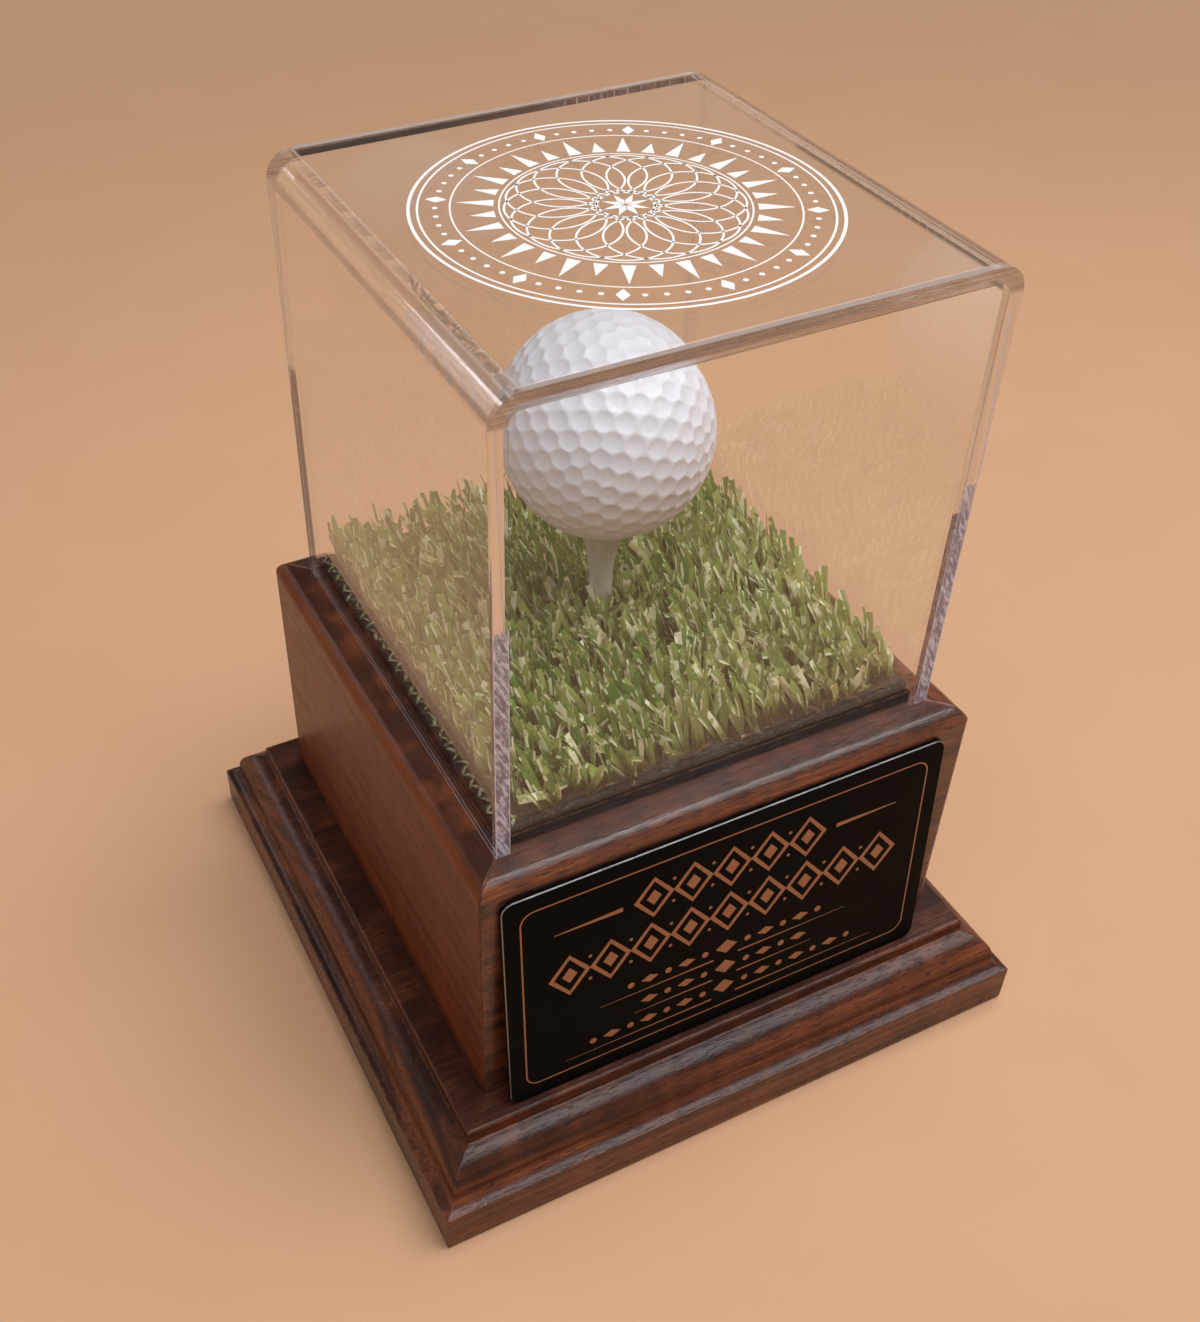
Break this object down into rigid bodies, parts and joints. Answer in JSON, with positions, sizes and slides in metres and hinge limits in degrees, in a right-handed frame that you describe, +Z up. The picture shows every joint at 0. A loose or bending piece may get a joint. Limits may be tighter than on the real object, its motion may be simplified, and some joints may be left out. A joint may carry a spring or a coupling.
{
  "type": "golf ball display case",
  "caption": "Clear lift-off cover over a golf ball on a tee in artificial turf, on a mitred walnut box with a moulded plinth and a leaning black plaque.",
  "frame": {"origin": "middle of the footprint, on the surface the case stands on", "axes": "+Z up, the plaque faces -Y, +X to the right seen from the front"},
  "size_m": [0.144, 0.144, 0.1843],
  "materials": {
    "walnut": "satin lacquered walnut",
    "dark_walnut": "dark stained walnut",
    "glue_block": "sawn pine, unfinished",
    "felt": "pressed felt",
    "zinc_screw": "yellow zinc plated steel",
    "backing": "black woven polypropylene",
    "grass": "slit polyethylene ribbon, satin",
    "tee_lacquer": "white lacquered",
    "ball_cover": "clear coated white ionomer",
    "acrylic": "clear polished acrylic sheet",
    "plaque_black": "black lacquered brass with bare bevels",
    "foam": "double-sided foam tape"
  },
  "bodies": {
    "base": {"plinth": "walnut", "pad_front_left": "felt", "pad_front_right": "felt", "pad_rear_left": "felt", "pad_rear_right": "felt", "front_board": "walnut", "rear_board": "walnut", "left_board": "walnut", "right_board": "walnut", "block_front_left": "glue_block", "block_front_right": "glue_block", "block_rear_left": "glue_block", "block_rear_right": "glue_block", "deck_panel": "dark_walnut", "base_screws": "zinc_screw", "deck_screws": "zinc_screw", "turf_backing": "backing", "turf_pile": "grass", "tee": "tee_lacquer", "plaque": "plaque_black", "plaque_tape": "foam"},
    "cover": {"cover_sheet": "acrylic", "cover_front_panel": "acrylic", "cover_rear_panel": "acrylic"},
    "ball": {"golf_ball": "ball_cover"}
  },
  "joints": [
    {"name": "cover_lift", "type": "slide", "parent": "base", "child": "cover", "axis": [0, 0, 1], "range_m": [0, 0.1]},
    {"name": "ball_lift", "type": "slide", "parent": "base", "child": "ball", "axis": [0, 0, 1], "range_m": [0, 0.014]}
  ]
}
